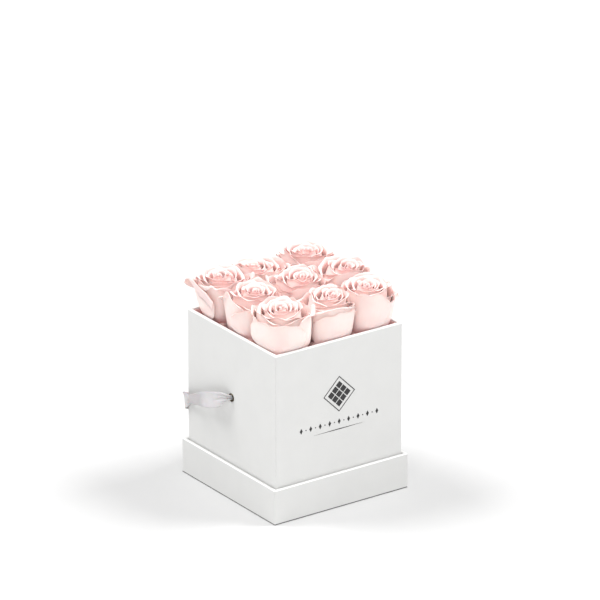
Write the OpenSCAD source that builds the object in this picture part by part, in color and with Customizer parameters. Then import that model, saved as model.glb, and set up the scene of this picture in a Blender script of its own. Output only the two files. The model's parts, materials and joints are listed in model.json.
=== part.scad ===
// Flower box: a rigid square carton of preserved roses, standing in its upturned lid,
// with a ribbon carry handle that hangs behind it. The table is at z = 0 and the printed
// front face looks along -Y.

/* [Box] */
// Outside width and depth of the box
box_w = 140; // [130:1:150]
// Outside height of the box
box_h = 160; // [155:1:190]
// Thickness of the grey board
board_t = 2.5; // [2:0.5:3]
// Thickness of the wrapping and lining papers
paper_t = 0.25; // [0.2:0.05:0.4]
// How far the wrapping paper turns in over the rims
turn_in = 15; // [10:1:20]

/* [Lid] */
// Height of the lid
lid_h = 34; // [25:1:42]
// Clear gap between the box and the lid, on each side
lid_gap = 1.2; // [0.8:0.1:2]

/* [Eyelets] */
// Height of the eyelets above the table
eyelet_z = 99; // [95:1:105]
// Radius of the hole through each eyelet
eyelet_r = 2.75; // [2.5:0.05:3]
// Radius of the flange outside the wall
flange_r = 4.1; // [4:0.1:5.5]
// Radius of the washer inside the wall
washer_r = 5.5; // [5:0.1:7]

/* [Roses] */
// Widest radius of an unclipped bloom
bloom_r = 29; // [26:1:30]
// Height of a bloom from its calyx to its crown
bloom_h = 52; // [48:1:56]
// How far the blooms rise above the rim
bloom_rise = 39; // [30:1:42]
// How far the outer blooms lean out past their cells above the rim
bloom_overhang = 5; // [2:1:6]
// Room between the blooms of neighbouring cells
bloom_gap = 0.6; // [0.5:0.1:1]
// Radius of a stem
stem_r = 2.4; // [2:0.1:3]
// Length of a stem below its calyx
stem_l = 40; // [30:1:45]

/* [Foam] */
// Height of the lower foam block
lower_foam_h = 70; // [60:1:75]
// Distance from the top of the foam to the rim
foam_depth = 23; // [22:1:26]
// Room between the foam and the box on each side
foam_gap = 0.5; // [0.3:0.1:1]

/* [Hidden] */
roses_per_side = 3;
lid_wall = board_t + 2 * paper_t;
lid_half = box_w / 2 + lid_gap + lid_wall;
floor_z = lid_wall;
box_half = box_w / 2;
inside_half = box_half - lid_wall;
rim_z = floor_z + box_h;
box_floor_z = floor_z + lid_wall;

pitch = 2 * inside_half / roses_per_side;
cell_half = (pitch - bloom_gap) / 2;
crown_z = rim_z + bloom_rise;
bloom_z = crown_z - bloom_h;
bloom_foot_r = 9;
bloom_shoulder = 0.8;
calyx_h = 8;
calyx_z = bloom_z - calyx_h;
calyx_flare = 1;
calyx_top_r = 7.5;
sepal_count = 5;
sepal_l = 15;
sepal_w = 6;
sepal_t = 0.8;
sepal_shoulder = 8;

foam_half = inside_half - foam_gap;
foam_top_z = rim_z - foam_depth;
foam_joint_z = box_floor_z + lower_foam_h;
socket_r = stem_r + 0.3;
socket_z = calyx_z - stem_l - 1;
pocket_half = 8;
pocket_depth = 16;

barrel_r = eyelet_r + 0.4;
wall_hole_r = barrel_r + 0.1;
flange_t = 0.8;
washer_t = 0.5;
lip_r = 4;
lip_t = 0.7;
knot_r = 6;
knot_l = 9;
knot_face = 60;

print_t = 0.1;
emblem_z = 110;
emblem_half = 17.5;
emblem_line = 1.2;
emblem_tile = 3.8;
emblem_step = 4.4;
border_z = 83;
border_w = 84;
border_count = 9;
border_diamond = [1.6, 2.8];
border_dot_r = 0.6;
rule_z = 75.5;
rule_w = 56;
rule_h = 0.9;

ROWS = ["front", "middle", "back"];
COLUMNS = ["left", "centre", "right"];
ALL = [0 : roses_per_side - 1];

function rose_name(row, column, piece) = str("rose_", ROWS[row], "_", COLUMNS[column], "_", piece);

// Centre line of the ribbon's left half, from the knot inside the box, out through the
// eyelet, along the left face and round the back corner to the middle of the back.
// Each row is [x, y, z, width, thickness] for a box 140 wide with eyelets at 99; the width
// stands upright and the right half is the mirror image.
ribbon_left = [
    [-60.5, 0, 99, 4, 2.2],
    [-65, 0, 99, 4, 2.2],
    [-71.5, 0, 99, 4, 2.2],
    [-74.5, 1.5, 99.4, 7, 1.8],
    [-77, 5, 98.8, 10.5, 1.4],
    [-78.5, 10, 96, 14, 1],
    [-79, 16, 93.4, 15, 0.6],
    [-79, 24, 90.8, 15, 0.4],
    [-78.5, 34, 87.4, 15, 0.4],
    [-77.5, 44, 84, 15, 0.4],
    [-76.5, 54, 80, 15, 0.4],
    [-75.5, 64, 76, 15, 0.4],
    [-74, 72, 72.5, 15, 0.4],
    [-69.5, 76.5, 69.5, 15, 0.4],
    [-61, 79.5, 65.5, 15, 0.4],
    [-50, 83, 61, 15, 0.4],
    [-38, 86, 57, 15, 0.4],
    [-26, 88, 54, 15, 0.4],
    [-13, 89.5, 52, 15, 0.4],
    [0, 90, 51.5, 15, 0.4]
];
ribbon_fit = box_w / 140;
ribbon_lift = eyelet_z - 99;
ribbon_right = [for (i = [len(ribbon_left) - 2 : -1 : 0])
    [-ribbon_left[i][0], ribbon_left[i][1], ribbon_left[i][2], ribbon_left[i][3], ribbon_left[i][4]]];
ribbon_rows = concat(ribbon_left, ribbon_right);
ribbon_last = len(ribbon_rows) - 1;

function ribbon_point(i) = [
    ribbon_rows[i][0] * ribbon_fit, ribbon_rows[i][1] * ribbon_fit, ribbon_rows[i][2] + ribbon_lift];
function unit(v) = v / norm(v);
function ribbon_run(i) = unit(ribbon_point(min(i + 1, ribbon_last)) - ribbon_point(max(i - 1, 0)));
function ribbon_across(i) = unit([0, 0, 1] - ribbon_run(i)[2] * ribbon_run(i));
function ribbon_ring(i) =
    let (across = ribbon_across(i) * ribbon_rows[i][3] / 2,
         through = cross(ribbon_run(i), ribbon_across(i)) * ribbon_rows[i][4] / 2)
    [for (s = [[1, 1], [1, -1], [-1, -1], [-1, 1]])
        ribbon_point(i) + s[0] * across + s[1] * through];

// Side curve of a bloom, a goblet that opens quickly from its foot, then its low crown.
bloom_side_h = 0.8 * bloom_h;
bloom_outline = concat(
    [[0, 0]],
    [for (a = [0 : 15 : 75])
        [bloom_foot_r + (bloom_r - bloom_foot_r) * pow(sin(a), bloom_shoulder),
         bloom_side_h * a / 90]],
    [for (a = [0 : 15 : 75])
        [bloom_r * cos(a), bloom_side_h + (bloom_h - bloom_side_h) * sin(a)]],
    [[0, bloom_h]]
);

// Shared shapes

module square_sheet(half, low, high) {
    translate([-half, -half, low]) cube([2 * half, 2 * half, high - low]);
}

// A square frame between two half widths.
module square_ring(outer, inner, low, high) {
    difference() {
        square_sheet(outer, low, high);
        square_sheet(inner, low - 1, high + 1);
    }
}

// One wall board along -Y with mitred ends.
module wall_board(outer, inner, low, high) {
    translate([0, 0, low])
        linear_extrude(high - low)
            polygon([[-outer, -outer], [outer, -outer], [inner, -inner], [-inner, -inner]]);
}

// A paper skin outside a board wall that turns over its rim and a little way down inside.
module rim_wrap(outer, inner, low, high) {
    square_ring(outer, outer - paper_t, low, high);
    square_ring(outer - paper_t / 2, inner + paper_t / 2, high - paper_t, high);
    square_ring(inner + paper_t, inner, high - turn_in, high);
}

// A thin tray of paper: a floor sheet and the walls up to the turned-in wrap.
module paper_tray(inner, low, high) {
    square_sheet(inner + paper_t, low, low + paper_t);
    square_ring(inner + paper_t, inner, low, high);
}

// A cylinder lying along X, from the first x to the second.
module x_cylinder(from, to, r) {
    translate([from, 0, eyelet_z])
        rotate([0, 90, 0])
            cylinder(h = to - from, r = r, $fn = 64);
}

// The bore of both eyelet holes, straight through the box from side to side.
module eyelet_bore() {
    x_cylinder(-box_half - 1, box_half + 1, wall_hole_r);
}

// Lid

module lid_top_sheet() {
    color("white") square_sheet(lid_half, 0, paper_t);
}

module lid_panel_board() {
    color("tan") square_sheet(lid_half - paper_t - board_t, paper_t, paper_t + board_t);
}

module lid_board(turn) {
    color("tan")
        rotate([0, 0, turn])
            wall_board(lid_half - paper_t, lid_half - paper_t - board_t, paper_t, lid_h - paper_t);
}

module lid_front_board() {
    lid_board(0);
}

module lid_right_board() {
    lid_board(90);
}

module lid_back_board() {
    lid_board(180);
}

module lid_left_board() {
    lid_board(270);
}

module lid_side_wrap() {
    color("white") rim_wrap(lid_half, lid_half - lid_wall, paper_t, lid_h);
}

module lid_lining() {
    color("whitesmoke") paper_tray(lid_half - lid_wall, floor_z - paper_t, lid_h - turn_in);
}

// Box shell

module box_base_sheet() {
    color("white") square_sheet(box_half, floor_z, floor_z + paper_t);
}

module box_bottom_board() {
    color("tan")
        square_sheet(inside_half + paper_t, floor_z + paper_t, floor_z + paper_t + board_t);
}

module box_board(turn) {
    color("tan")
        rotate([0, 0, turn])
            wall_board(box_half - paper_t, inside_half + paper_t, floor_z + paper_t, rim_z - paper_t);
}

module box_front_board() {
    box_board(0);
}

module box_back_board() {
    box_board(180);
}

module box_left_board() {
    difference() {
        box_board(270);
        eyelet_bore();
    }
}

module box_right_board() {
    difference() {
        box_board(90);
        eyelet_bore();
    }
}

module box_outer_wrap() {
    color("white")
        difference() {
            rim_wrap(box_half, inside_half, floor_z + paper_t, rim_z);
            eyelet_bore();
        }
}

module box_inner_lining() {
    color("whitesmoke")
        difference() {
            paper_tray(inside_half, box_floor_z - paper_t, rim_z - turn_in);
            eyelet_bore();
        }
}

// Front print: a plain lattice of diamonds over a border of diamonds and dots and a rule.

module diamond(x, z, half_w, half_h) {
    translate([x, z])
        polygon([[-half_w, 0], [0, -half_h], [half_w, 0], [0, half_h]]);
}

module emblem() {
    difference() {
        diamond(0, emblem_z, emblem_half, emblem_half);
        diamond(0, emblem_z, emblem_half - emblem_line, emblem_half - emblem_line);
    }
    for (a = [-1 : 1], b = [-1 : 1])
        diamond((a + b) * emblem_step, emblem_z + (a - b) * emblem_step, emblem_tile, emblem_tile);
}

module border() {
    step = border_w / (border_count - 1);
    for (i = [0 : border_count - 1])
        diamond(i * step - border_w / 2, border_z, border_diamond[0], border_diamond[1]);
    for (i = [0 : border_count - 2])
        translate([(i + 0.5) * step - border_w / 2, border_z])
            circle(r = border_dot_r, $fn = 24);
}

module front_print() {
    color("black")
        translate([0, -box_half, 0])
            rotate([90, 0, 0])
                linear_extrude(print_t) {
                    emblem();
                    border();
                    diamond(0, rule_z, rule_w / 2, rule_h / 2);
                }
}

// Eyelets, drawn on the left wall and mirrored for the right. The profile is turned about
// the barrel's axis: its flange lies outside the wall and its lip is rolled over the washer.

eyelet_outline = [
    [eyelet_r, -flange_t], [flange_r - 1.2, -flange_t], [flange_r - 0.4, -flange_t * 0.8],
    [flange_r, -flange_t * 0.3], [flange_r, 0], [barrel_r, 0],
    [barrel_r, lid_wall + washer_t], [lip_r, lid_wall + washer_t],
    [lip_r - 0.2, lid_wall + washer_t + lip_t * 0.8], [lip_r - 0.6, lid_wall + washer_t + lip_t],
    [eyelet_r, lid_wall + washer_t + lip_t]
];

module on_left_wall() {
    translate([-box_half, 0, eyelet_z])
        rotate([0, 90, 0])
            children();
}

module eyelet() {
    color("dimgray") on_left_wall() rotate_extrude($fn = 64) polygon(eyelet_outline);
}

module eyelet_washer() {
    color("dimgray")
        on_left_wall()
            translate([0, 0, lid_wall])
                difference() {
                    cylinder(h = washer_t, r = washer_r, $fn = 64);
                    translate([0, 0, -1]) cylinder(h = washer_t + 2, r = wall_hole_r, $fn = 64);
                }
}

module left_eyelet() {
    eyelet();
}

module right_eyelet() {
    mirror([1, 0, 0]) eyelet();
}

module left_eyelet_washer() {
    eyelet_washer();
}

module right_eyelet_washer() {
    mirror([1, 0, 0]) eyelet_washer();
}

// Ribbon handle and its knots

module ribbon_handle() {
    color("ghostwhite")
        polyhedron(
            points = [for (i = [0 : ribbon_last]) each ribbon_ring(i)],
            faces = concat(
                [[0, 1, 2, 3]],
                [for (i = [0 : ribbon_last - 1], s = [0 : 3])
                    [4 * i + s, 4 * (i + 1) + s, 4 * (i + 1) + (s + 1) % 4, 4 * i + (s + 1) % 4]],
                [[for (s = [3 : -1 : 0]) 4 * ribbon_last + s]]
            )
        );
}

module ribbon_knot() {
    color("ghostwhite")
        translate([ribbon_left[0][0] * ribbon_fit, 0, eyelet_z])
            rotate([0, 90, 0])
                rotate_extrude($fn = 48)
                    polygon(concat(
                        [[0, 0]],
                        [for (a = [-knot_face : knot_face / 3 : knot_face])
                            [knot_r * cos(a), knot_l / 2 * (1 + sin(a) / sin(knot_face))]],
                        [[0, knot_l]]));
}

module left_ribbon_knot() {
    ribbon_knot();
}

module right_ribbon_knot() {
    mirror([1, 0, 0]) ribbon_knot();
}

// Foam

module foam_block_lower() {
    color("darkseagreen") square_sheet(foam_half, box_floor_z, foam_joint_z);
}

module foam_block_upper() {
    color("darkseagreen")
        difference() {
            square_sheet(foam_half, foam_joint_z, foam_top_z);
            for (row = ALL, column = ALL)
                at_cell(row, column)
                    translate([0, 0, socket_z])
                        cylinder(h = foam_top_z - socket_z + 1, r = socket_r, $fn = 48);
            for (side = [-1, 1])
                translate([side * foam_half, 0, eyelet_z])
                    cube([2 * pocket_depth, 2 * pocket_half, 2 * pocket_half], center = true);
        }
}

// Roses, in a square grid of cells

module at_cell(row, column) {
    translate([(column - 1) * pitch, (row - 1) * pitch, 0]) children();
}

// The space of one cell: square up to the rim, and a little wider above it on the sides
// where there is no neighbour.
module cell_space(row, column) {
    west = column == 0 ? bloom_overhang : 0;
    east = column == roses_per_side - 1 ? bloom_overhang : 0;
    south = row == 0 ? bloom_overhang : 0;
    north = row == roses_per_side - 1 ? bloom_overhang : 0;
    square_sheet(cell_half, bloom_z - 1, crown_z + 1);
    translate([-cell_half - west, -cell_half - south, rim_z + 2])
        cube([2 * cell_half + west + east, 2 * cell_half + south + north, bloom_rise]);
}

module rose_bloom(row, column) {
    color("mistyrose")
        at_cell(row, column)
            intersection() {
                translate([0, 0, bloom_z]) rotate_extrude($fn = 96) polygon(bloom_outline);
                cell_space(row, column);
            }
}

// The green cup under a bloom, with five pointed sepals spread from its top.
module rose_calyx(row, column) {
    color("olivedrab")
        at_cell(row, column)
            translate([0, 0, calyx_z]) {
                cylinder(h = calyx_h, r1 = stem_r + calyx_flare, r2 = calyx_top_r, $fn = 48);
                for (i = [0 : sepal_count - 1])
                    rotate([0, 0, i * 360 / sepal_count])
                        translate([0, 0, calyx_h - sepal_t])
                            linear_extrude(sepal_t)
                                polygon([[0, -sepal_w / 2], [sepal_shoulder, -sepal_w / 2],
                                         [sepal_l, 0], [sepal_shoulder, sepal_w / 2], [0, sepal_w / 2]]);
            }
}

module rose_stem(row, column) {
    color("darkolivegreen")
        at_cell(row, column)
            translate([0, 0, calyx_z - stem_l])
                cylinder(h = stem_l, r = stem_r, $fn = 48);
}

lid_top_sheet();
lid_panel_board();
lid_front_board();
lid_back_board();
lid_left_board();
lid_right_board();
lid_side_wrap();
lid_lining();
box_base_sheet();
box_bottom_board();
box_front_board();
box_back_board();
box_left_board();
box_right_board();
box_outer_wrap();
box_inner_lining();
front_print();
left_eyelet();
right_eyelet();
left_eyelet_washer();
right_eyelet_washer();
ribbon_handle();
left_ribbon_knot();
right_ribbon_knot();
foam_block_lower();
foam_block_upper();
for (row = ALL, column = ALL) {
    rose_bloom(row, column);
    rose_calyx(row, column);
    rose_stem(row, column);
}
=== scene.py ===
"""Looks of the flower box: paper, board, eyelets, satin ribbon, foam and nine preserved roses,
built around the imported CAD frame. Lengths in this script are millimetres, turned into metres
by MM where a mesh is made."""

import json
import math
import random
from dataclasses import dataclass

import bpy
import numpy as np
from mathutils import Matrix, Vector


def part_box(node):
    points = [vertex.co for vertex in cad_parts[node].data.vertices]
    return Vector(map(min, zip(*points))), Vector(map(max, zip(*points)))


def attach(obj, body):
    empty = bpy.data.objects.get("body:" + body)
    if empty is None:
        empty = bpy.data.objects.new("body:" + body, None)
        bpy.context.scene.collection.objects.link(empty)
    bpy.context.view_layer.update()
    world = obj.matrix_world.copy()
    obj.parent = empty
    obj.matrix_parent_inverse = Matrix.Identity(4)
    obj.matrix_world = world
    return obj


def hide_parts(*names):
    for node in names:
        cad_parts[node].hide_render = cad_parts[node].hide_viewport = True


MM = 0.001
ROWS = ("front", "middle", "back")
COLUMNS = ("left", "centre", "right")

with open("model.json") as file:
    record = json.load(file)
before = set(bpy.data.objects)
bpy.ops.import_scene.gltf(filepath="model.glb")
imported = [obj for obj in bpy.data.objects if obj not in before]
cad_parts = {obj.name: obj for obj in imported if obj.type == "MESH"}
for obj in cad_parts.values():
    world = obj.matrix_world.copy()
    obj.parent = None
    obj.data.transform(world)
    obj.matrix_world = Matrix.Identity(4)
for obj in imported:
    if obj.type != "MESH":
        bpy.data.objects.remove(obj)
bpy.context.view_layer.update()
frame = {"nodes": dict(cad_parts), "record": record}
nodes = frame["nodes"]


def node_box(name):
    """Lowest and highest corner of a CAD node, in millimetres."""
    low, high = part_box(name)
    return np.array(low) / MM, np.array(high) / MM


# Camera, floor and light

CAMERA_AZIMUTH = -35.17
CAMERA_ELEVATION = 22.21
CAMERA_DISTANCE = 5.674
CAMERA_LENS = 370.7
AIM_RIGHT = 0.0049
AIM_UP = 0.1648


def make_camera():
    """A long lens at the side and height given above, aimed a little beside the origin."""
    azimuth = math.radians(CAMERA_AZIMUTH)
    elevation = math.radians(CAMERA_ELEVATION)
    level = math.cos(elevation)
    back = Vector((math.sin(azimuth) * level, -math.cos(azimuth) * level, math.sin(elevation)))
    right = Vector((math.cos(azimuth), math.sin(azimuth), 0))
    up = back.cross(right)
    data = bpy.data.cameras.new("camera")
    data.lens = CAMERA_LENS
    data.clip_start = 0.1
    data.clip_end = 50
    camera = bpy.data.objects.new("camera", data)
    bpy.context.scene.collection.objects.link(camera)
    camera.location = AIM_RIGHT * right + AIM_UP * up + CAMERA_DISTANCE * back
    camera.rotation_euler = Matrix((right, up, back)).transposed().to_euler()
    bpy.context.scene.camera = camera


def soft_sun(name, azimuth, elevation, strength, softness):
    """A broad soft source far away, given by the side it shines from and its height in degrees."""
    data = bpy.data.lights.new(name, "SUN")
    data.energy = strength
    data.angle = math.radians(softness)
    light = bpy.data.objects.new(name, data)
    bpy.context.scene.collection.objects.link(light)
    a, e = math.radians(azimuth), math.radians(elevation)
    towards = Vector((math.sin(a) * math.cos(e), -math.cos(a) * math.cos(e), math.sin(e)))
    light.rotation_euler = towards.to_track_quat("Z", "Y").to_euler()


def make_studio():
    """White surroundings, a soft light at each side and a weaker one from the camera's side."""
    scene = bpy.context.scene
    scene.view_settings.view_transform = "Standard"
    world = bpy.data.worlds.new("studio")
    world.use_nodes = True
    world.node_tree.nodes["Background"].inputs["Color"].default_value = (1, 1, 1, 1)
    world.node_tree.nodes["Background"].inputs["Strength"].default_value = 0.5
    scene.world = world
    soft_sun("left_softbox", CAMERA_AZIMUTH - 105, 56, 2.25, 26)
    soft_sun("right_softbox", CAMERA_AZIMUTH + 100, 54, 2.4, 26)
    soft_sun("front_softbox", CAMERA_AZIMUTH + 2, 36, 0.85, 50)


# Mesh helpers

def make_piece(name, points, faces, body, material):
    """A mesh object from points in millimetres that rides on a CAD body."""
    mesh = bpy.data.meshes.new(name)
    mesh.from_pydata([tuple(p) for p in np.asarray(points, float) * MM], [], faces)
    mesh.validate()
    mesh.polygons.foreach_set("use_smooth", [True] * len(mesh.polygons))
    piece = bpy.data.objects.new(name, mesh)
    bpy.context.scene.collection.objects.link(piece)
    mesh.materials.append(material)
    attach(piece, body)
    return piece


def grid_faces(rows, columns, start=0, close_rows=False, close_columns=False):
    """Quads over a grid of points numbered row by row."""
    faces = []
    for i in range(rows if close_rows else rows - 1):
        for j in range(columns if close_columns else columns - 1):
            a = i * columns + j
            b = i * columns + (j + 1) % columns
            c = ((i + 1) % rows) * columns + (j + 1) % columns
            d = ((i + 1) % rows) * columns + j
            faces.append((start + a, start + b, start + c, start + d))
    return faces


def thin_shell(grid, thickness):
    """Both faces of a thin skin and the strip round its edge, from a grid of points and the
    skin's thickness at each of them. The points of the outer face come first."""
    normal = np.cross(np.gradient(grid, axis=1), np.gradient(grid, axis=0))
    normal /= np.maximum(np.linalg.norm(normal, axis=2, keepdims=True), 1e-9)
    offset = normal * thickness[:, :, None] / 2
    points = np.concatenate([(grid + offset).reshape(-1, 3), (grid - offset).reshape(-1, 3)])
    rows, columns = thickness.shape
    count = rows * columns
    outer = grid_faces(rows, columns)
    inner = [tuple(count + i for i in reversed(face)) for face in outer]
    numbers = np.arange(count).reshape(rows, columns)
    edge = [*numbers[0, :-1], *numbers[:-1, -1], *numbers[-1, :0:-1], *numbers[:0:-1, 0]]
    after = edge[1:] + edge[:1]
    strip = [(b, a, count + a, count + b) for a, b in zip(edge, after)]
    return points, outer + inner + strip


def set_values(mesh, name, values):
    """A number at every vertex, for a material to read."""
    mesh.attributes.new(name, "FLOAT", "POINT").data.foreach_set("value", np.asarray(values, float))


def set_uv(mesh, uv):
    """A UV map from one pair of numbers per vertex."""
    corners = np.zeros(len(mesh.loops), int)
    mesh.loops.foreach_get("vertex_index", corners)
    mesh.uv_layers.new(name="flat").data.foreach_set("uv", np.asarray(uv)[corners].reshape(-1))


def smoothstep(low, high, x):
    """0 at low, 1 at high and smooth between them."""
    t = np.clip((x - low) / (high - low), 0, 1)
    return t * t * (3 - 2 * t)


# Materials

# Painted highlight mixed into the paper along its folds, and painted shadow grey for the lid's foot.
PAINTED_HIGHLIGHT = (0.93, 0.93, 0.92)
PAINTED_SHADOW_GREY = (0.11, 0.11, 0.11)
FLOOR_GREY = (0.61, 0.61, 0.61)
# Petal colour from the pale outer faces (0) to the deep inside (1). The deep end is partly the petal's own
# colour and partly painted shade.
PETAL_COLOURS = (
    (0.0, (0.965, 0.80, 0.76)),
    (0.2, (0.965, 0.75, 0.715)),
    (0.55, (0.97, 0.71, 0.69)),
    (1.0, (0.96, 0.58, 0.575)),
)


def new_material(name, base, roughness=0.6, **sockets):
    """A Principled material. Sockets that are the same all over are set on the shader."""
    material = bpy.data.materials.new(name)
    material.use_nodes = True
    shader = material.node_tree.nodes["Principled BSDF"]
    shader.inputs["Base Color"].default_value = (*base, 1)
    shader.inputs["Roughness"].default_value = roughness
    for socket, value in sockets.items():
        shader.inputs[socket.replace("_", " ")].default_value = value
    return material


class Nodes:
    """Short calls for wiring a material."""

    def __init__(self, material):
        """Wires the nodes of this material."""
        self.tree = material.node_tree
        self.shader = self.tree.nodes["Principled BSDF"]

    def add(self, kind, links=None, **values):
        """A node, with its inputs or settings by name, and the outputs linked to its inputs."""
        node = self.tree.nodes.new(kind)
        for key, value in values.items():
            if key in node.inputs:
                node.inputs[key].default_value = value
            else:
                setattr(node, key, value)
        for key, output in (links or {}).items():
            self.tree.links.new(output, node.inputs[key])
        return node

    def link(self, output, socket):
        """Feeds an input of the shader."""
        self.tree.links.new(output, self.shader.inputs[socket])

    def place(self):
        """The point that is shaded, in metres in the piece's own space."""
        return self.add("ShaderNodeTexCoord").outputs["Object"]

    def noise(self, scale, detail=3, rough=0.5, vector=None):
        """A noise with this many cells to the metre, or to each unit of the vector."""
        node = self.add("ShaderNodeTexNoise", {"Vector": vector or self.place()})
        node.inputs["Scale"].default_value = scale
        node.inputs["Detail"].default_value = detail
        node.inputs["Roughness"].default_value = rough
        return node.outputs["Fac"]

    def spread(self, value, low, high, from_low=0.3, from_high=0.7):
        """Stretches the range in which most of a noise lies to low and high."""
        node = self.add("ShaderNodeMapRange", {"Value": value})
        node.inputs["From Min"].default_value = from_low
        node.inputs["From Max"].default_value = from_high
        node.inputs["To Min"].default_value = low
        node.inputs["To Max"].default_value = high
        return node.outputs["Result"]

    def blend(self, factor, a, b):
        """Colour a where the factor is 0 and b where it is 1."""
        node = self.add("ShaderNodeMix", data_type="RGBA")
        for socket, value in ((node.inputs["A"], a), (node.inputs["B"], b), (node.inputs["Factor"], factor)):
            if isinstance(value, bpy.types.NodeSocket):
                self.tree.links.new(value, socket)
            else:
                socket.default_value = (*value, 1) if isinstance(value, tuple) else value
        return node.outputs["Result"]

    def math(self, operation, a, b=0.0):
        """The result of one operation on two numbers or outputs."""
        node = self.add("ShaderNodeMath", operation=operation)
        for socket, value in zip(node.inputs, (a, b)):
            if isinstance(value, bpy.types.NodeSocket):
                self.tree.links.new(value, socket)
            else:
                socket.default_value = value
        return node.outputs["Value"]

    def weigh(self, a, share_a, b, share_b):
        """Two patterns added together, each by its share."""
        return self.math("ADD", self.math("MULTIPLY", a, share_a), self.math("MULTIPLY", b, share_b))

    def bump(self, height, distance):
        """Relief on the surface, this many metres deep where the height goes from 0 to 1."""
        node = self.add("ShaderNodeBump", {"Height": height})
        node.inputs["Distance"].default_value = distance
        node.inputs["Strength"].default_value = 1.0
        self.link(node.outputs["Normal"], "Normal")
        return node


def paper_material(name, base, tooth):
    """Matt coated paper: a fine tooth, faint mottling and slow waves where the glue pulled. A
    painted highlight lightens it along the folds, where the mesh's "fold" is above 0, and a painted
    shadow greys it where "fold" is below 0, along the lid's foot."""
    material = new_material(name, base, 0.62, Specular_IOR_Level=0.4)
    n = Nodes(material)
    fibre = n.noise(2600, 4, 0.6)
    mottle = n.noise(45, 3, 0.6)
    darker = tuple(0.975 * c for c in base)
    fold = n.add("ShaderNodeAttribute", attribute_name="fold").outputs["Fac"]
    sheet = n.blend(n.spread(mottle, 0, 1), base, darker)
    # Painted shadow: grey where "fold" is below 0, along the lid's foot.
    sheet = n.blend(n.math("MULTIPLY", fold, -1), sheet, PAINTED_SHADOW_GREY)
    # Painted highlight: lighter where "fold" is above 0, along the folds.
    n.link(n.blend(n.math("MULTIPLY", fold, 0.85), sheet, PAINTED_HIGHLIGHT), "Base Color")
    n.link(n.spread(fibre, 0.55, 0.7), "Roughness")
    n.bump(n.weigh(fibre, tooth, n.noise(14, 2), 2.0), 0.00004)
    return material


def board_material():
    """Grey board with darker and lighter flecks of pulp."""
    material = new_material("greyboard", (0.40, 0.37, 0.33), 0.9)
    n = Nodes(material)
    flecks = n.noise(900, 5, 0.7)
    n.link(n.blend(n.spread(flecks, 0, 1), (0.34, 0.31, 0.27), (0.52, 0.49, 0.44)), "Base Color")
    n.bump(flecks, 0.0001)
    return material


def print_material():
    """Black foil: smooth, with the paper's tooth just showing in the gloss."""
    material = new_material("black_print", (0.012, 0.012, 0.013), 0.38)
    n = Nodes(material)
    fine = n.noise(1800, 3)
    n.link(n.blend(n.spread(fine, 0, 1), (0.009, 0.009, 0.010), (0.022, 0.021, 0.022)), "Base Color")
    n.link(n.spread(fine, 0.3, 0.5), "Roughness")
    n.bump(fine, 0.00001)
    return material


def metal_material():
    """Blackened brass, worn to a warmer tone in faint patches."""
    material = new_material("dark_metal", (0.10, 0.085, 0.06), 0.3, Metallic=1.0)
    n = Nodes(material)
    wear = n.noise(700, 4, 0.6)
    n.link(n.blend(n.spread(wear, 0, 1, 0.45, 0.75), (0.07, 0.062, 0.05), (0.26, 0.21, 0.13)), "Base Color")
    n.link(n.spread(wear, 0.22, 0.42), "Roughness")
    n.bump(n.noise(3000, 2), 0.000008)
    return material


def ribbon_material():
    """White satin: long floats across a faint weave, from the piece's own UV map."""
    material = new_material("satin_ribbon", (0.62, 0.61, 0.62), 0.38, Anisotropic=0.5, Sheen_Weight=0.1,
                            Sheen_Roughness=0.4, Subsurface_Weight=0.15, Subsurface_Scale=0.001)
    n = Nodes(material)
    uv = n.add("ShaderNodeUVMap").outputs["UV"]
    weft = n.add("ShaderNodeTexWave", {"Vector": uv}, bands_direction="Y")
    weft.inputs["Scale"].default_value = 420
    weft.inputs["Distortion"].default_value = 0.6
    warp = n.add("ShaderNodeTexWave", {"Vector": uv}, bands_direction="X")
    warp.inputs["Scale"].default_value = 24
    warp.inputs["Distortion"].default_value = 0.4
    weave = n.weigh(weft.outputs["Fac"], 0.5, warp.outputs["Fac"], 0.5)
    slub = n.noise(160, 3)
    shade = n.weigh(weave, 0.35, n.spread(slub, 0, 1), 0.4)
    n.link(n.blend(shade, (0.64, 0.63, 0.64), (0.57, 0.56, 0.57)), "Base Color")
    n.link(n.spread(slub, 0.32, 0.46), "Roughness")
    n.bump(weave, 0.00003)
    return material


def foam_material():
    """Green floral foam: fine cells and coarser crumbs."""
    material = new_material("floral_foam", (0.16, 0.28, 0.13), 0.95)
    n = Nodes(material)
    cells = n.add("ShaderNodeTexVoronoi", {"Vector": n.place()})
    cells.inputs["Scale"].default_value = 1100
    crumbs = n.noise(350, 5, 0.7)
    n.link(n.blend(n.spread(crumbs, 0, 1), (0.11, 0.21, 0.09), (0.24, 0.36, 0.19)), "Base Color")
    n.bump(n.weigh(cells.outputs["Distance"], 1.0, crumbs, 1.5), 0.0004)
    return material


def leaf_material():
    """Leathery green with lighter blotches."""
    material = new_material("sepal", (0.22, 0.33, 0.12), 0.55, Subsurface_Weight=0.2, Subsurface_Scale=0.001)
    n = Nodes(material)
    blotch = n.noise(220, 4, 0.6)
    n.link(n.blend(n.spread(blotch, 0, 1), (0.17, 0.27, 0.09), (0.33, 0.42, 0.18)), "Base Color")
    n.link(n.spread(blotch, 0.45, 0.65), "Roughness")
    n.bump(n.noise(1500, 3), 0.00008)
    return material


def stem_material():
    """Woody green with fibres along the stem."""
    material = new_material("stem", (0.25, 0.32, 0.14), 0.7)
    n = Nodes(material)
    stretch = n.add("ShaderNodeMapping", {"Vector": n.place()})
    stretch.inputs["Scale"].default_value = (1, 1, 0.12)
    fibres = n.noise(1600, 4, 0.6, stretch.outputs["Vector"])
    n.link(n.blend(n.spread(fibres, 0, 1), (0.20, 0.24, 0.09), (0.38, 0.40, 0.20)), "Base Color")
    n.bump(fibres, 0.00015)
    return material


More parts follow.
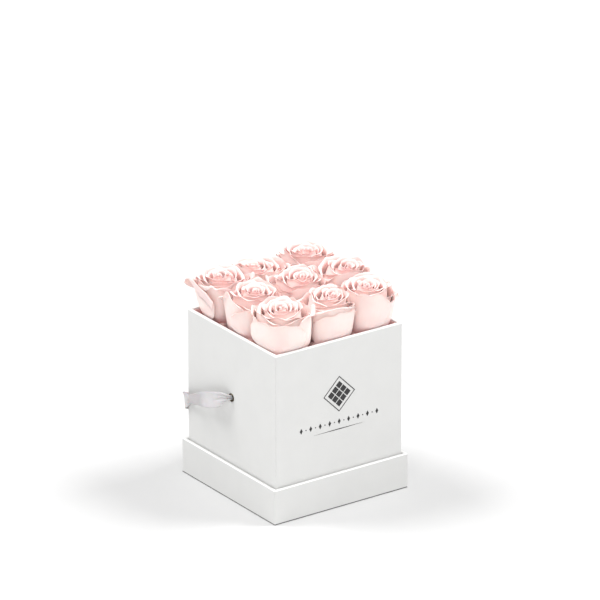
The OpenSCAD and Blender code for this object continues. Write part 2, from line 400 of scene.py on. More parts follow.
def petal_material():
    """Waxy petal. The mesh carries a number from 0 on the palest faces to 1 deep inside, partly the
    petal's own blush and partly painted shade, and its UV map runs across and along each petal for the
    veins."""
    material = new_material("petal", (0.93, 0.72, 0.67), 0.5, Specular_IOR_Level=0.25,
                            Subsurface_Weight=0.3, Subsurface_Scale=0.0004,
                            Subsurface_Radius=(1.0, 0.6, 0.5))
    n = Nodes(material)
    blush_and_shade = n.add("ShaderNodeAttribute", attribute_name="blush_and_shade").outputs["Fac"]
    uv = n.add("ShaderNodeUVMap").outputs["UV"]
    along = n.add("ShaderNodeMapping", {"Vector": uv})
    along.inputs["Scale"].default_value = (26, 2.2, 1)
    veins = n.noise(1.6, 4, 0.55, along.outputs["Vector"])
    cloud = n.noise(70, 3, 0.55)
    depth = n.math("ADD", blush_and_shade, n.spread(cloud, -0.09, 0.09))
    depth = n.math("ADD", depth, n.spread(veins, -0.03, 0.03))
    ramp = n.add("ShaderNodeValToRGB", {"Fac": depth})
    for place, _ in PETAL_COLOURS[1:-1]:
        ramp.color_ramp.elements.new(place)
    for element, (place, colour) in zip(ramp.color_ramp.elements, PETAL_COLOURS):
        element.position = place
        element.color = (*colour, 1)
    n.link(ramp.outputs["Color"], "Base Color")
    n.link(n.spread(cloud, 0.42, 0.56), "Roughness")
    n.bump(n.weigh(veins, 0.6, n.noise(1400, 2), 0.15), 0.00012)
    return material


def floor_material():
    """Plain pale floor."""
    material = new_material("floor", FLOOR_GREY, 0.8)
    n = Nodes(material)
    darker = tuple(grey - 0.005 for grey in FLOOR_GREY)
    n.link(n.blend(n.spread(n.noise(3, 2), 0, 1), FLOOR_GREY, darker), "Base Color")
    return material


# Roses

PETAL_THICK = 0.55
PETAL_GAP = 0.15
PETAL_GRID = (34, 26)
FOOT_R = 3.0
# How much deeper the inner face of a petal is: partly its own colour and partly painted shade.
INNER_BLUSH_AND_SHADE = 0.16
# Share of a petal's length that goes up the cup before the rim rolls, and where the roll begins.
CURL_FROM = 0.72
CURL_START = 0.12
SWIRL_PETALS = 12
SWIRL_R = 18.5
LOW_PETALS = 4
# How far petals reach from the middle of their cell: to a neighbour, and out over the box's rim.
CELL_REACH = 22.0
EDGE_REACH = 29.0


def cell_of(row, column):
    """Middle of a rose's cell, the height of its foot, and how far its petals may reach west,
    east, south and north."""
    name = f"rose_{ROWS[row]}_{COLUMNS[column]}"
    low, high = node_box(f"{name}_stem")
    foot_z = node_box(f"{name}_bloom")[0][2]
    alone = {"west": column == 0, "east": column == 2, "south": row == 0, "north": row == 2}
    reach = {side: EDGE_REACH if free else CELL_REACH for side, free in alone.items()}
    return ((low + high) / 2)[:2], foot_z, reach


def soft_limit(x, limit):
    """x, pressed smoothly so that it never passes the limit, as petals press on a neighbour."""
    free = 0.7 * limit
    over = np.maximum(x - free, 0)
    return np.where(x > free, free + (limit - free) * np.tanh(over / (limit - free)), x)


@dataclass
class Petal:
    """One petal, wrapped on a cup. u runs across it from -1 to 1 and v from base to rim."""

    rng: random.Random
    angle: float
    spread: float
    radius: float
    height: float
    bulge: float
    curl: float
    curl_length: float
    # How much further out one side lies than the other, as in a spiral.
    spiral: float
    flare: float
    tip: float
    wave: float
    # From 0 in the bud to 1 outside.
    layer: float
    # How evenly an outer petal widens from foot to rim, instead of filling out low down.
    taper: float = 0.09

    def __post_init__(self):
        """Draws what differs by chance from petal to petal."""
        self.crease = 0.15 + 0.2 * self.layer
        self.phase = [self.rng.uniform(0, 2 * math.pi) for _ in range(4)]
        self.base_z = self.rng.uniform(0.5, 2.5) + 3 * (1 - self.layer)

    def cup(self, u, v):
        """Radius and height, with the rim not rolled yet."""
        up = np.minimum(v / CURL_FROM, 1)
        # The share of the full height that this column of the petal has: less at its sides.
        column = 1 - 0.24 * np.abs(u) ** 3.6 * (0.35 + 0.65 * self.layer)
        rim_r = self.radius + self.spiral * u + self.flare * np.abs(u) ** 3
        foot = FOOT_R * (0.4 + 0.6 * self.layer)
        quick = 1 - (1 - up) ** (2.0 + 6.5 * self.layer ** 1.5)
        widen = quick + self.taper * self.layer * (up - quick)
        radius = foot + (rim_r - foot) * widen + self.bulge * np.sin(math.pi * up ** 1.3)
        top = self.height * column + self.tip * np.exp(-((u / 0.16) ** 2))
        return radius, self.base_z + (top - self.base_z) * up ** 1.18

    def roll(self, u, v, radius, z):
        """Turn the rim outward on an arc, most between the tip and the sides."""
        rolled = np.maximum(v - CURL_FROM, 0) / (1 - CURL_FROM)
        turn = self.curl * (0.72 + 0.28 * np.sin(math.pi * np.abs(u)) ** 1.2)
        turn = turn * (1 + 0.25 * np.sin(3.1 * u + self.phase[0]))
        angle = CURL_START + turn * rolled
        radius = radius + self.curl_length * (np.cos(CURL_START) - np.cos(angle)) / turn
        return radius, z + self.curl_length * (np.sin(angle) - np.sin(CURL_START)) / turn

    def ruffle(self, u, v, radius, z):
        """Waves towards the rim and soft creases all over."""
        lift = v ** 3
        radius = radius + self.wave * lift * np.sin(2.6 * math.pi * u + self.phase[1])
        z = z + 0.7 * self.wave * lift * np.sin(3.7 * math.pi * u + self.phase[2])
        dents = np.sin(5 * u + 3 * v + self.phase[3]) * np.sin(5 * v + self.phase[0])
        return radius + self.crease * dents, z

    def direction(self, u, v):
        """The angle round the rose: narrow at the foot, and rounded off at the rim."""
        narrow = 0.5 + 0.5 * smoothstep(0.0, 0.55, v)
        shape = 1 - 0.10 * smoothstep(0.75, 1.0, v) * np.abs(u)
        return self.angle + self.spread * u * narrow * shape + 0.03 * np.sin(2 * math.pi * v + self.phase[3])

    def blush_and_shade(self, v, count):
        """Deeper low down, at the rims of the swirl, and on the inner face: partly the petal's own blush and
        partly painted shade, where shade falls low down and inside, and on the rims to tone down the top
        light.
        """
        swirl = 1 - self.layer
        low_down = 1 - smoothstep(0.08, 0.6, v)
        rim = smoothstep(0.8, 1, v)
        outer = np.repeat(0.16 * swirl + 0.3 * low_down + (0.1 + 0.2 * swirl) * rim, count)
        return np.clip(np.concatenate([outer, outer + INNER_BLUSH_AND_SHADE]), 0, 1)

    def shell(self, across, along, shield):
        """Points, faces, UV map and blush of the petal, tucked in behind the shield."""
        u = np.linspace(-1, 1, across)[None, :]
        v = np.linspace(0, 1, along)[:, None] ** 0.9
        radius, z = self.cup(u, v)
        radius, z = self.roll(u, v, radius, z)
        radius, z = self.ruffle(u, v, radius, z)
        theta = self.direction(u, v)
        radius = shield.tuck(radius, theta, z)
        grid = np.stack([radius * np.cos(theta), radius * np.sin(theta), z], -1)
        # Thick in the middle and fine at the rim and sides.
        thickness = PETAL_THICK * (0.35 + 0.65 * (1 - v ** 6)) * (1 - 0.6 * u ** 8)
        points, faces = thin_shell(grid, thickness)
        uv = np.stack(np.broadcast_arrays(u / 2 + 0.5, v), -1).reshape(-1, 2)
        return points, faces, np.concatenate([uv, uv]), self.blush_and_shade(v, across)


class Shield:
    """The inner side of the petals placed so far, as a radius for each direction and height."""

    TURNS, TURN_STEP = 72, math.radians(5)
    LEVELS, LEVEL_STEP = 40, 2.0

    def __init__(self):
        """Nothing stands in the way yet."""
        self.radius = np.full((self.TURNS, self.LEVELS), np.inf)

    def level(self, number):
        """A level's number, kept within the shield."""
        return np.clip(number, 0, self.LEVELS - 1)

    def tuck(self, radius, theta, z):
        """Draw a petal in where one outside it stands in the way, and add it to the shield."""
        turn = np.floor(theta / self.TURN_STEP).astype(int) % self.TURNS
        level = self.level(z / self.LEVEL_STEP).astype(int)
        nearest = np.full(turn.shape, np.inf)
        for side in (-1, 0, 1):
            for step in (-1, 0):
                bins = (turn + side) % self.TURNS, self.level(level + step)
                nearest = np.minimum(nearest, self.radius[bins])
        radius = np.minimum(radius, nearest - PETAL_THICK - PETAL_GAP)
        np.minimum.at(self.radius, (turn, level), radius)
        return radius


def swirl_petals(look, rng):
    """The tight bud and the swirl round it, from the centre out."""
    petals = []
    twist = look["twist"]
    angle = rng.uniform(0, 2 * math.pi)
    for k in range(SWIRL_PETALS):
        f = k / (SWIRL_PETALS - 1)
        petals.append(Petal(
            angle=angle,
            spread=math.radians(150 - 68 * f ** 0.8),
            radius=1.3 + SWIRL_R * f,
            height=look["crown"] - 2.5 * f ** 2 + rng.uniform(-0.9, 0.9),
            bulge=3.2 * (1 - f) + 1.0,
            curl=math.radians(48 + 30 * f + rng.uniform(-12, 12)),
            curl_length=1.9 + 2.9 * f,
            spiral=twist * (0.3 + 0.4 * f),
            flare=0.2 + 0.5 * f,
            tip=0.2 + 0.7 * f,
            wave=0.2 + 0.7 * f,
            layer=0.6 * f,
            rng=rng,
        ))
        angle += twist * math.radians(137.5 + rng.uniform(-12, 12))
    return petals


def guard_petals(look, rng):
    """The big outer petals, each placed by its row in LOOKS."""
    petals = []
    for number, (degrees, spread, height, curl, length, tip) in enumerate(look["guards"]):
        outwards = number / (len(look["guards"]) - 1)
        petals.append(Petal(
            angle=math.radians(TO_CAMERA + degrees),
            spread=math.radians(spread),
            radius=22 + 6 * outwards,
            height=height,
            bulge=0.6,
            curl=math.radians(curl),
            curl_length=length,
            spiral=look["twist"] * 0.8,
            flare=1.4,
            tip=tip,
            wave=0.9,
            layer=0.75 + 0.25 * outwards,
            rng=rng,
            taper=look["taper"],
        ))
    return petals


def low_petals(rng):
    """Short petals that spread into the four corners of the cell and hide the foam."""
    return [Petal(
        angle=math.radians(45 + 90 * corner + rng.uniform(-8, 8)),
        spread=math.radians(42),
        radius=31,
        height=rng.uniform(9.5, 11),
        bulge=0,
        curl=math.radians(30),
        curl_length=1.5,
        spiral=0.5,
        flare=0,
        tip=0.5,
        wave=0.5,
        layer=1,
        rng=rng,
    ) for corner in range(LOW_PETALS)]


TO_CAMERA = 234.8

# What makes each rose different. "twist" is the way its swirl turns, "crown" the height of its
# middle, "tilt" how far the crown turns to the camera (degrees), "taper" how narrow its foot is,
# "tint" how much rosier it is painted, partly its own colour and partly painted shade, and "lean"
# how far its top lies east and north of its foot.
# "guards" are its big petals from the inside out. Each row is the side a petal faces (degrees
# counter-clockwise from the line to the camera), half spread (degrees), rim height, curl
# (degrees), length of the curled part, and how far its tip stands up.
LOOKS = {
    "front_left": dict(
        seed=11, twist=1, crown=45, tilt=14, taper=0.1, tint=0, lean=(-0.9, 0.3), guards=(
            (180, 75, 35, 70, 4, 1),
            (-60, 70, 43, 70, 3, 1),
            (50, 65, 41.5, 90, 4, 1),
            (150, 70, 39, 90, 5, 2),
            (-105, 62, 40.5, 85, 5, 1),
            (82, 52, 43, 120, 7, 5),
            (-18, 68, 38.5, 60, 4, 0))),
    "front_centre": dict(
        seed=23, twist=-1, crown=47, tilt=12, taper=0.25, tint=0.04, lean=(6.4, -4), guards=(
            (175, 75, 36, 70, 4, 1),
            (-70, 70, 39.5, 80, 4, 1),
            (60, 65, 39.5, 90, 4, 1),
            (-130, 65, 37.5, 90, 5, 2),
            (120, 60, 36.5, 95, 5, 2),
            (-35, 55, 43, 150, 7, 2),
            (20, 60, 42.5, 150, 8, 1),
            (28, 60, 37, 60, 3.5, 0))),
    "front_right": dict(
        seed=31, twist=1, crown=46.5, tilt=10, taper=0.24, tint=0.12, lean=(3, -2), guards=(
            (180, 75, 36, 70, 4, 1),
            (-70, 70, 40.5, 80, 4, 1),
            (55, 65, 38, 90, 4, 1),
            (-150, 65, 37.5, 90, 5, 2),
            (120, 60, 38.5, 110, 5.5, 3),
            (-65, 55, 44.5, 100, 5, 1),
            (78, 45, 33, 95, 6, 5),
            (-6, 60, 46.5, 45, 4, 1))),
    "middle_left": dict(
        seed=47, twist=-1, crown=47, tilt=8, taper=0.3, tint=0.1, lean=(1, 0), guards=(
            (180, 75, 37, 70, 4, 1),
            (60, 70, 41.5, 80, 4, 1),
            (-50, 65, 40.5, 70, 3, 1),
            (130, 65, 41, 90, 5, 2),
            (48, 55, 43, 140, 8, 2),
            (-62, 50, 41, 115, 8, 7),
            (10, 62, 37, 60, 4, 0))),
    "middle_centre": dict(
        seed=59, twist=1, crown=50.5, tilt=10, taper=0.15, tint=0.12, lean=(4.6, -3.4), guards=(
            (170, 75, 41, 70, 4, 1),
            (50, 65, 43.5, 80, 4, 1),
            (-60, 65, 44.5, 80, 4, 1),
            (180, 70, 42, 70, 5, 1),
            (100, 60, 45, 110, 5.5, 2),
            (-95, 58, 45, 130, 6.5, 2),
            (5, 70, 45, 80, 5, 0))),
    "middle_right": dict(
        seed=61, twist=-1, crown=51, tilt=8, taper=0.15, tint=0.12, lean=(8.5, -6.5), guards=(
            (170, 75, 42, 70, 4, 1),
            (40, 65, 46, 80, 4, 1),
            (-70, 65, 45.5, 80, 4, 1),
            (150, 65, 43.5, 70, 5.5, 1),
            (95, 60, 43, 100, 5.5, 2),
            (-80, 60, 45, 120, 6.5, 3),
            (10, 70, 48, 120, 6.5, 1))),
    "back_left": dict(
        seed=73, twist=1, crown=47.5, tilt=6, taper=0.38, tint=0.14, lean=(-4.1, 3), guards=(
            (180, 75, 39, 70, 4, 1),
            (70, 70, 43.5, 80, 4, 1),
            (-60, 65, 43.5, 80, 4, 1),
            (160, 70, 39, 80, 5, 1),
            (85, 50, 44, 130, 7, 4),
            (34, 60, 44, 160, 12, 1),
            (-20, 60, 43, 170, 12, 1),
            (-80, 60, 38, 215, 20, 0))),
    "back_centre": dict(
        seed=83, twist=-1, crown=46, tilt=6, taper=0.15, tint=0.12, lean=(-9, 6.1), guards=(
            (180, 75, 39, 70, 4, 1),
            (60, 70, 44.5, 80, 4, 1),
            (-60, 65, 43.5, 80, 4, 1),
            (130, 70, 42.5, 70, 5.5, 1),
            (75, 60, 44.5, 90, 5.5, 2),
            (-100, 60, 41, 120, 6.5, 1),
            (0, 68, 46, 90, 5.5, 1))),
    "back_right": dict(
        seed=97, twist=1, crown=51.5, tilt=3, taper=0.15, tint=0.14, lean=(0, 0), guards=(
            (180, 75, 43, 70, 4, 1),
            (60, 70, 47.5, 80, 4, 1),
            (-60, 65, 47.5, 80, 4, 1),
            (170, 70, 43, 70, 4, 1),
            (85, 60, 43, 110, 5, 3),
            (-90, 60, 42, 100, 4.5, 2),
            (5, 70, 46, 70, 5, 0))),
}


def lean_petal(p, layer, look):
    """Tilt a petal to the camera and lean it, more the higher up and the further in it is."""
    grip = np.clip(p[:, 2] / 45, 0, 1.2) ** 1.6 * (1 - 0.55 * layer)
    facing = math.radians(TO_CAMERA)
    towards = p[:, 0] * math.cos(facing) + p[:, 1] * math.sin(facing)
    p[:, 2] -= math.tan(math.radians(look["tilt"])) * towards * grip * (1 - 0.5 * layer)
    p[:, 0] += look["lean"][0] * grip
    p[:, 1] += look["lean"][1] * grip


def press_into_cell(p, spare, reach, rim_z):
    """Keep a petal in its cell, with room to spare for the petals outside it."""
    above = smoothstep(rim_z - 2, rim_z + 9, p[:, 2])
    for axis, sides in enumerate((("west", "east"), ("south", "north"))):
        for sign, side in zip((-1, 1), sides):
            limit = CELL_REACH - spare + (reach[side] - CELL_REACH) * above
            x = sign * p[:, axis]
            p[:, axis] = sign * np.where(x > 0, soft_limit(x, limit), x)


def shade_rosiness(p, crown_z, rim_z):
    """Painted shade: petals shaded by their neighbours are painted rosier, low between the roses and inside
    the box.
    """
    edge = np.maximum(np.abs(p[:, 0]), np.abs(p[:, 1]))
    between = smoothstep(64, 50, edge) * smoothstep(6, -10, p[:, 2] - crown_z)
    low_down = smoothstep(5, -6, p[:, 2] - rim_z)
    return np.maximum(0.18 * between, 0.5 * low_down)


def make_bloom(row, column, material):
    """All the petals of one rose as one piece, shaped from the outside in."""
    name = f"{ROWS[row]}_{COLUMNS[column]}"
    look = LOOKS[name]
    centre, foot_z, reach = cell_of(row, column)
    rim_z = node_box("box_outer_wrap")[1][2]
    rng = random.Random(look["seed"])
    petals = swirl_petals(look, rng) + guard_petals(look, rng) + low_petals(rng)
    shells = []
    shield = Shield()
    for petal in reversed(petals):
        # The petals of the swirl overlap freely, so each starts from a clear shield.
        if petal.layer <= 0.6:
            shield = Shield()
        shells.insert(0, petal.shell(*PETAL_GRID, shield))
    points, faces, uvs, blush_and_shade_parts = [], [], [], []
    for number, (petal, (p, petal_faces, uv, blush_and_shade)) in enumerate(zip(petals, shells)):
        outside = max(len(petals) - LOW_PETALS - number, 0)
        lean_petal(p, petal.layer, look)
        press_into_cell(p, 0.3 * outside, reach, rim_z - foot_z)
        faces += [tuple(number * len(p) + i for i in face) for face in petal_faces]
        points.append(p)
        uvs.append(uv)
        blush_and_shade_parts.append(blush_and_shade)
    p = np.concatenate(points) + (*centre, foot_z)
    # The rose's tint, partly painted shade, and the painted shade of petals shaded by their neighbours are
    # added to the petals' own blush here.
    blush_and_shade = np.concatenate(blush_and_shade_parts) + look["tint"] + shade_rosiness(p, foot_z + look["crown"], rim_z)
    piece = make_piece(f"rose_{name}_petals", p, faces, f"rose_{name}", material)
    set_uv(piece.data, np.concatenate(uvs))
    set_values(piece.data, "blush_and_shade", np.clip(blush_and_shade, 0, 1))
    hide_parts(f"rose_{name}_bloom")
    return piece


# Paper skins with finely rounded folds

WALL = 3.0
TURN_IN = 15.0
PAPER_THICK = 0.2
FOLD_R = 0.7
INNER_FOLD_R = 0.15
FOLD_STEPS = 5
# Painted highlight on the rounded upright corners.
CORNER_HIGHLIGHT = 0.05
# Height of the band at the foot that carries a painted shadow on the lid and a painted highlight on the box.
FOOT_H = 0.9
HOLE_HALF = 2.85
# Where the eyelet's hole begins, counted in points along a side and in rows up the wall.
HOLE_POINT = 2
HOLE_ROW = 3


def ring_points(half, corner):
    """Points round a square with rounded corners, anticlockwise, and the painted highlight of each one."""
    straight = half - corner
    points, fold = [], []
    for side in range(4):
        cos, sin = math.cos(side * math.pi / 2), math.sin(side * math.pi / 2)
        edge = [(t, -half) for t in
                (-straight, -straight + 1.2, -HOLE_HALF, HOLE_HALF, straight - 1.2, straight)]
        fold += [0.0] * len(edge)
        for step in range(1, FOLD_STEPS):
            a = step * math.pi / 2 / FOLD_STEPS
            edge.append((straight + corner * math.sin(a), -straight - corner * math.cos(a)))
            fold.append(CORNER_HIGHLIGHT)
        points += [(x * cos - y * sin, x * sin + y * cos) for x, y in edge]
    return points, fold


def fold_arc(half, z, start, end, painted_light):
    """Profile points round a fold, from one angle to another (degrees, 0 looks outwards), each with the same
    painted light.
    """
    rows = []
    for step in range(FOLD_STEPS + 1):
        a = math.radians(start + (end - start) * step / FOLD_STEPS)
        rows.append((half + FOLD_R * math.cos(a), z + FOLD_R * math.sin(a), painted_light))
    return rows


def wrap_profile(low, high, outer, hole_z, foot, rim, highlight_fade):
    """Rows up the wall, over the rim and down inside: half width, height and painted light, a painted
    highlight above 0 and a painted shadow below 0.
    """
    inner = outer - WALL
    # The band at the foot carries the foot's painted light.
    rows = [(outer, low, foot), (outer, low + FOOT_H, foot), (outer, low + FOOT_H + 0.05, 0.0)]
    if hole_z:
        rows += [(outer, hole_z - HOLE_HALF, 0.0), (outer, hole_z + HOLE_HALF, 0.0)]
    # From here the painted highlight rises to the outer fold and over it.
    rows += [(outer, high - FOLD_R - highlight_fade, 0.0)]
    rows += fold_arc(outer - FOLD_R, high - FOLD_R, 0, 90, 1.0)
    rows += [(outer - FOLD_R - 0.1, high, rim)]
    rows += fold_arc(inner + FOLD_R, high - FOLD_R, 90, 180, rim)
    rows += [(inner, high - FOLD_R - 0.8, 0.0), (inner, high - TURN_IN, 0.0)]
    return rows


def make_wrap(node, body, material, foot, rim, highlight_fade, hole_z=None):
    """The skin outside a board wall, over its rim and a little way down inside. "foot" and "rim"
    are how much painted highlight, or if below 0 how much painted shadow, the foot and the flat
    of the rim get; the argument after them is how far the painted highlight of the outer fold runs down the
    wall."""
    low, high = node_box(node)
    outer = high[0]
    rows = wrap_profile(low[2], high[2], outer, hole_z, foot, rim, highlight_fade)
    points, painted_light_values = [], []
    for half, z, fold in rows:
        ring, ring_highlight = ring_points(half, FOLD_R if half > outer - FOLD_R else INNER_FOLD_R)
        points += [(x, y, z) for x, y in ring]
        # Painted shadow at the foot stays; elsewhere the corners' painted highlight counts where it is
        # higher.
        painted_light_values += [fold if fold < 0 else max(fold, f) for f in ring_highlight]
    columns = len(ring)
    faces = grid_faces(len(rows), columns, close_columns=True)
    if hole_z:
        # The second and fourth sides of the ring are the right and left walls.
        holes = [HOLE_ROW * columns + side * columns // 4 + HOLE_POINT for side in (1, 3)]
        faces = [face for face in faces if face[0] not in holes]
    piece = make_piece(f"{node}_skin", points, faces, body, material)
    # Painted light for the paper material: painted highlight above 0, painted shadow below 0.
    set_values(piece.data, "fold", painted_light_values)
    # Flat walls are shaded flat, so that only the folds look round.
    for polygon in piece.data.polygons:
        polygon.use_smooth = all(abs(polygon.normal[axis]) < 0.9999 for axis in range(3))
    thick = piece.modifiers.new("thickness", "SOLIDIFY")
    thick.thickness = PAPER_THICK * MM
    thick.offset = -1
    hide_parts(node)
    return piece


# Eyelets

EYELET_BORE = 2.75
EYELET_BARREL = 3.15
FLANGE_PROUD = 0.8
FLANGE_STEPS = 12
EYELET_SEGMENTS = 56
# The lip rolled over the washer inside the wall: distance out from the wall, and radius.
EYELET_LIP = ((-3.5, 4.0), (-3.85, 3.95), (-4.15, 3.6), (-4.2, 3.2), (-4.1, 2.85))


def eyelet_profile(flange):
    """The eyelet's section as distances out from the wall and radii, all the way round."""
    profile = [(-3.9, EYELET_BORE)]
    middle, half = (EYELET_BORE + flange) / 2, (flange - EYELET_BORE) / 2
    for step in range(FLANGE_STEPS + 1):
        a = math.pi * step / FLANGE_STEPS
        profile.append((FLANGE_PROUD * math.sin(a) ** 0.75, middle - half * math.cos(a)))
    return profile + [(0.0, EYELET_BARREL), (-3.5, EYELET_BARREL), *EYELET_LIP]


def make_eyelet(side, sign, material):
    """A turned eyelet: a rounded flange outside, the barrel and the lip rolled inside."""
    low, high = node_box(f"{side}_eyelet")
    centre_y, centre_z = (low[1] + high[1]) / 2, (low[2] + high[2]) / 2
    wall_x = -node_box("box_outer_wrap")[0][0]
    profile = eyelet_profile((high[2] - low[2]) / 2)
    points = []
    for out, radius in profile:
        for k in range(EYELET_SEGMENTS):
            a = 2 * math.pi * k / EYELET_SEGMENTS
            y, z = centre_y + radius * math.cos(a), centre_z + radius * math.sin(a)
            points.append((sign * (wall_x + out), y, z))
    faces = grid_faces(len(profile), EYELET_SEGMENTS, close_rows=True, close_columns=True)
    if sign < 0:
        faces = [tuple(reversed(face)) for face in faces]
    piece = make_piece(f"{side}_eyelet_turned", points, faces, "box", material)
    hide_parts(f"{side}_eyelet")
    return piece


# Ribbon

RIBBON_W = 15.0
RIBBON_T = 0.32
# Width at which the ribbon counts as fully gathered.
GATHERED_W = 4.0
# Length from each knot to the crease at the box's rear corner, and how far the crease slants.
CREASE_AT = 80.0
CREASE_SLANT = 5.0
# Centre line of the left half, from the knot to the middle of the back: x, y, z, width and
# gathered thickness. The right half is its mirror image.
RIBBON_LEFT = (
    (-60.5, 0, 99, 5, 1.8),
    (-65, 0, 99, 5, 1.8),
    (-71.5, 0, 99, 5, 1.8),
    (-74.5, 1.5, 99.4, 7, 1.8),
    (-77, 5, 98.8, 10.5, 1.4),
    (-78.5, 10, 96, 14, 1),
    (-79, 16, 93.4, 15, 0.6),
    (-79, 24, 90.8, 15, 0.4),
    (-78.5, 34, 87.4, 15, 0.4),
    (-77.5, 44, 84, 15, 0.4),
    (-76.5, 54, 80, 15, 0.4),
    (-75.5, 64, 76, 15, 0.4),
    (-74, 72, 72.5, 15, 0.4),
    (-69.5, 76.5, 69.5, 15, 0.4),
    (-61, 79.5, 65.5, 15, 0.4),
    (-50, 83, 61, 15, 0.4),
    (-38, 86, 57, 15, 0.4),
    (-26, 88, 54, 15, 0.4),
    (-13, 89.5, 52, 15, 0.4),
    (0, 90, 51.5, 15, 0.4),
)


def route_lengths(rows):
    """How far along the straight lines between them each of the rows lies."""
    steps = np.linalg.norm(np.diff(rows[:, :3], axis=0), axis=1)
    return np.concatenate([[0], np.cumsum(steps)])


def smooth_route(rows, s):
    """Rows of a smooth curve through the given rows, at the lengths s measured along it."""
    knots = route_lengths(rows)
    slopes = np.gradient(rows, knots, axis=0)
    i = np.clip(np.searchsorted(knots, s) - 1, 0, len(knots) - 2)
    span = (knots[i + 1] - knots[i])[:, None]
    t = (s[:, None] - knots[i][:, None]) / span
    start, end = rows[i], rows[i + 1]
    start_slope, end_slope = slopes[i] * span, slopes[i + 1] * span
    return (2 * t ** 3 - 3 * t ** 2 + 1) * start + (t ** 3 - 2 * t ** 2 + t) * start_slope \
        + (3 * t ** 2 - 2 * t ** 3) * end + (t ** 3 - t ** 2) * end_slope


def ribbon_rows():
    """The whole centre line, from knot to knot."""
    right = [(-x, y, z, width, thick) for x, y, z, width, thick in reversed(RIBBON_LEFT[:-1])]
    return np.array([*RIBBON_LEFT, *right], float)


def ribbon_creases(s, length, across):
    """At the two slanted creases: how far the ribbon is drawn along, the ridge, and the lean."""
    shift, ridge, lean = np.zeros(len(s)), np.zeros(len(s)), np.zeros(len(s))
    slant = CREASE_SLANT * across
    for side, place in ((1, CREASE_AT), (-1, length - CREASE_AT)):
        shift -= side * slant * np.exp(-(((s - place) / 13) ** 2))
        fold = place + side * slant
        ridge += 1.5 * np.exp(-np.abs(s - fold) / 3.0)
        ridge -= 1.4 * np.exp(-(((s - fold - side * 10) / 8) ** 2))
        before = side * (place - s) - slant
        lean += np.radians(42) * smoothstep(38, 8, before) * smoothstep(-2, 4, before)
        lean += np.radians(14) * smoothstep(4, -2, before) * smoothstep(-34, -16, before)
    return shift, ridge, lean


def across_ribbon(run, lean):
    """Directions up across the ribbon and out of its face, where it runs and leans."""
    up = np.array([0, 0, 1.0]) - run[:, 2:3] * run
    up /= np.linalg.norm(up, axis=1, keepdims=True)
    out = np.cross(up, run)
    cos, sin = np.cos(lean)[:, None], np.sin(lean)[:, None]
    return up * cos + out * sin, out * cos - up * sin


def make_ribbon(material):
    """The satin handle: gathered into pleats in each eyelet and creased where it turns a corner."""
    rows = ribbon_rows()
    length = route_lengths(rows)[-1]
    s = np.linspace(0, length, 321)
    w = np.linspace(-1, 1, 25)
    grid = np.zeros((len(s), len(w), 3))
    for j, across in enumerate(w):
        shift, ridge, lean = ribbon_creases(s, length, across)
        here = smooth_route(rows, np.clip(s + shift, 0, length))
        width, gathered = here[:, 3], here[:, 4]
        ahead = smooth_route(rows, np.clip(s + 0.5, 0, length))
        behind = smooth_route(rows, np.clip(s - 0.5, 0, length))
        run = ahead[:, :3] - behind[:, :3]
        run /= np.linalg.norm(run, axis=1, keepdims=True)
        up, out = across_ribbon(run, lean)
        tight = np.clip((RIBBON_W - width) / (RIBBON_W - GATHERED_W), 0, 1)
        pleat = (gathered - RIBBON_T) / 2 * np.sin(3 * math.pi * across + 0.6)
        pinch = -2.2 * np.exp(-(((across + 0.05) / 0.16) ** 2)) * tight ** 0.5
        sag = 0.5 * np.sin(0.11 * s + 1.0) * across + 0.35 * np.sin(0.23 * s) * across ** 2
        depth = pleat * np.clip(tight * 1.6, 0, 1) + (1 - tight) * (sag + ridge + pinch)
        grid[:, j] = here[:, :3] + up * (across * width / 2)[:, None] + out * depth[:, None]
    points, faces = thin_shell(grid, np.full(grid.shape[:2], RIBBON_T))
    piece = make_piece("ribbon_satin", points, faces, "box", material)
    uv = np.stack(np.broadcast_arrays(s[:, None] / RIBBON_W, w / 2 + 0.5), -1).reshape(-1, 2)
    set_uv(piece.data, np.concatenate([uv, uv]))
    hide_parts("ribbon_handle")
    return piece, length


# Knots

KNOT_STEPS = 120
KNOT_SEGMENTS = 14
KNOT_THROUGH = 1.25
KNOT_ACROSS = 1.7


def closed_tube(path):
    """A tube with an oval section, along a path of points that ends where it began."""
    run = np.roll(path, -1, axis=0) - np.roll(path, 1, axis=0)
    run /= np.linalg.norm(run, axis=1, keepdims=True)
    side = np.cross(run, np.array([0.3, 0.5, 0.81]))
    side /= np.linalg.norm(side, axis=1, keepdims=True)
    top = np.cross(side, run)
    a = np.linspace(0, 2 * math.pi, KNOT_SEGMENTS, endpoint=False)
    offset = side[:, None] * (KNOT_ACROSS * np.cos(a))[None, :, None]
    offset = offset + top[:, None] * (KNOT_THROUGH * np.sin(a))[None, :, None]
    faces = grid_faces(len(path), KNOT_SEGMENTS, close_rows=True, close_columns=True)
    return (path[:, None] + offset).reshape(-1, 3), faces


def make_knot(side, material):
    """The overhand knot that stops the ribbon inside the wall."""
    low, high = node_box(f"{side}_ribbon_knot")
    t = np.linspace(0, 2 * math.pi, KNOT_STEPS, endpoint=False)
    ring = 2.9 + 1.35 * np.cos(3 * t)
    path = np.stack([2.4 * np.sin(3 * t), ring * np.cos(2 * t), ring * np.sin(2 * t)], -1)
    points, faces = closed_tube(path)
    points = points + (low + high) / 2
    piece = make_piece(f"{side}_knot_tied", points, faces, "box", material)
    around = np.tile(np.linspace(0, 1, KNOT_SEGMENTS), KNOT_STEPS)
    set_uv(piece.data, np.stack([np.repeat(t * 0.8, KNOT_SEGMENTS), around], -1))
    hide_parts(f"{side}_ribbon_knot")
    return piece


# Green parts of a rose

